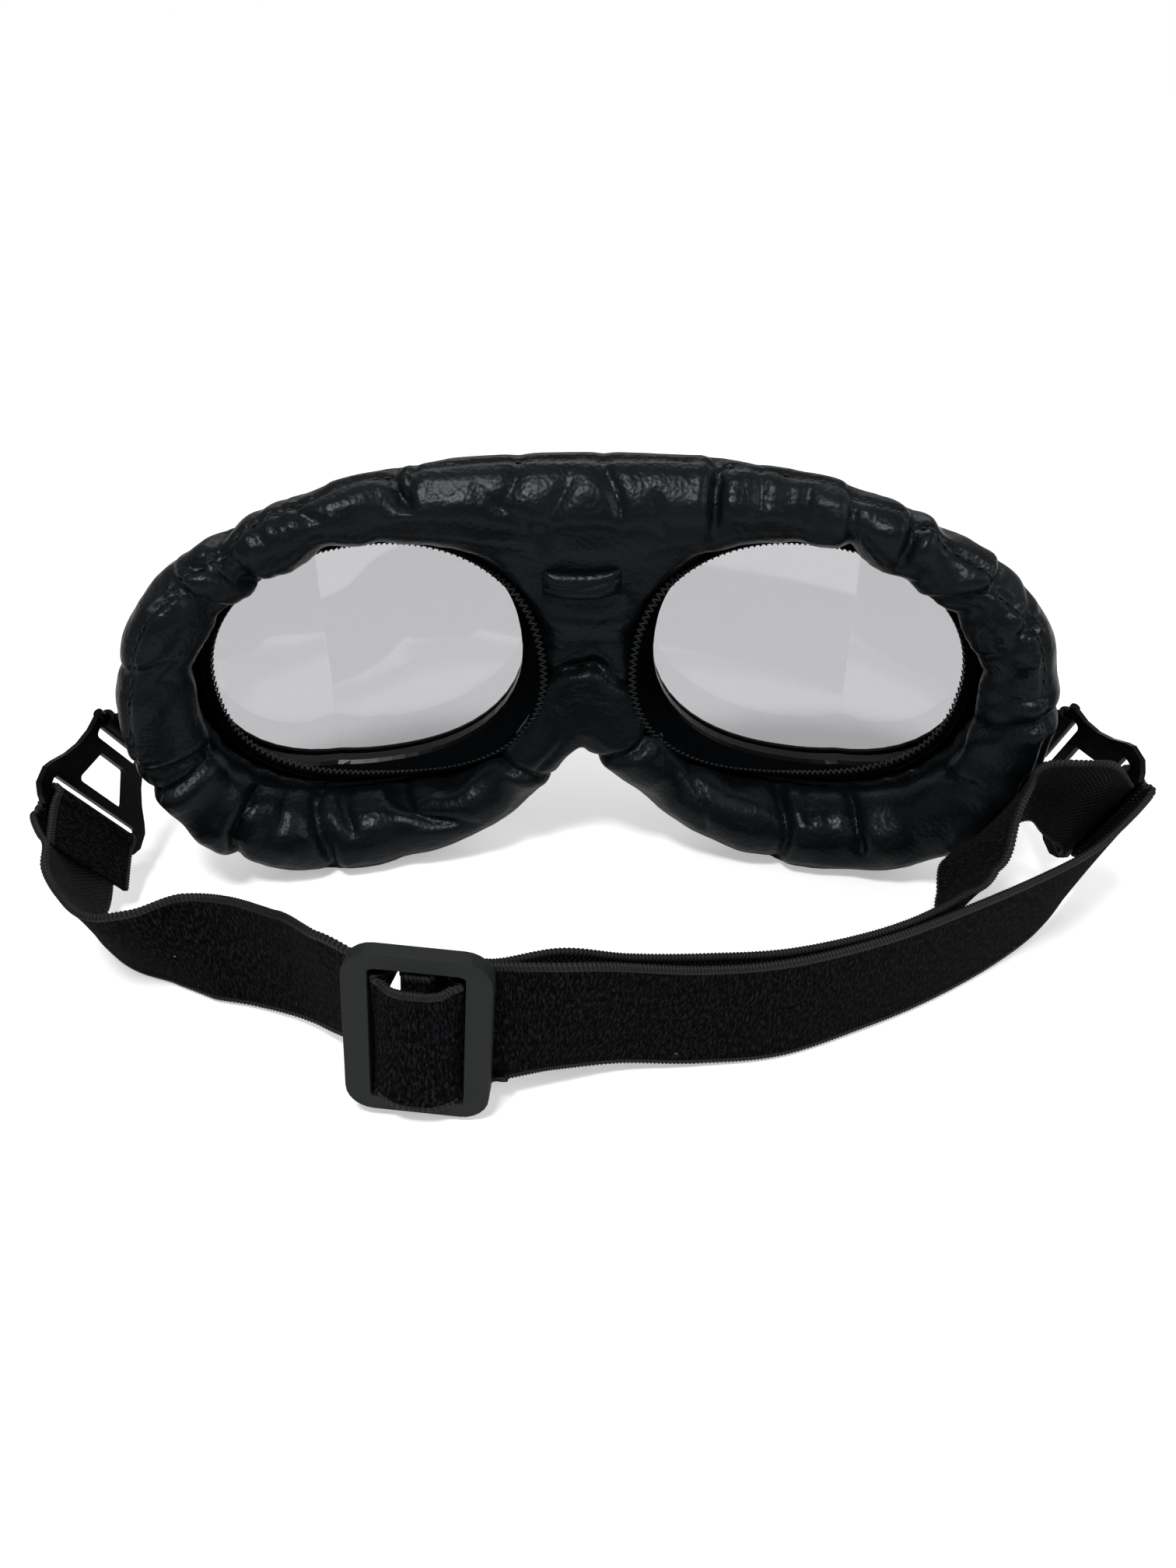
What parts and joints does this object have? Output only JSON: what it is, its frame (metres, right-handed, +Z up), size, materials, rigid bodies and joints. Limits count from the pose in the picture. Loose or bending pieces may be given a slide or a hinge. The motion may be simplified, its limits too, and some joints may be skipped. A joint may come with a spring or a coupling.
{
  "type": "sports glasses",
  "caption": "Padded riding goggles with bent clear lenses, a stuffed face cushion, hinged strap brackets and an elastic strap with a slider.",
  "frame": {"origin": "on the table, at the middle of the whole part's width and depth", "axes": "+X to the wearer's right, +Y forward out of the lenses, +Z up"},
  "size_m": [0.2066, 0.0979, 0.0844],
  "materials": {
    "leatherette": "soft sheen, fine grain",
    "lining_cloth": "matt coated cloth",
    "black_metal": "gloss black paint",
    "black_alloy": "gloss black paint",
    "gloss_plastic": "gloss black",
    "grey_plastic": "satin moulded",
    "clear_lens": "clear polycarbonate",
    "elastic": "matt plush outside, ribbed inside"
  },
  "bodies": {
    "mask": {"bridge_band": "leatherette", "bridge_rivet_left": "black_metal", "bridge_rivet_right": "black_metal", "face_cushion": "leatherette", "frame_left": "black_alloy", "frame_right": "black_alloy", "inner_rim_left": "gloss_plastic", "inner_rim_right": "gloss_plastic", "lens_left": "clear_lens", "lens_right": "clear_lens", "lining_left": "lining_cloth", "lining_right": "lining_cloth", "nose_bridge": "black_alloy", "side_wall_left": "leatherette", "side_wall_right": "leatherette", "strap_left": "elastic", "strap_right_inner": "elastic", "strap_right_outer": "elastic"},
    "bracket_left": {"strap_bracket_left": "black_metal"},
    "bracket_right": {"strap_bracket_right": "black_metal"},
    "slider": {"slider": "grey_plastic"}
  },
  "joints": [
    {"name": "bracket_left_hinge", "type": "hinge", "parent": "mask", "child": "bracket_left", "pos_m": [-0.0942, 0.0253, 0.03], "axis": [-0.242, -0.4911, 0.8368], "range_deg": [-20, 15], "deforming": ["strap_left"]},
    {"name": "bracket_right_hinge", "type": "hinge", "parent": "mask", "child": "bracket_right", "pos_m": [0.0942, 0.0253, 0.03], "axis": [-0.2116, 0.3392, -0.9166], "range_deg": [-20, 15], "deforming": ["strap_right_outer", "strap_right_inner"]},
    {"name": "slider_slide", "type": "slide", "parent": "mask", "child": "slider", "axis": [0.9939, 0.1104, 0], "range_m": [-0.005, 0.02], "deforming": ["strap_left", "strap_right_outer", "strap_right_inner"]}
  ]
}
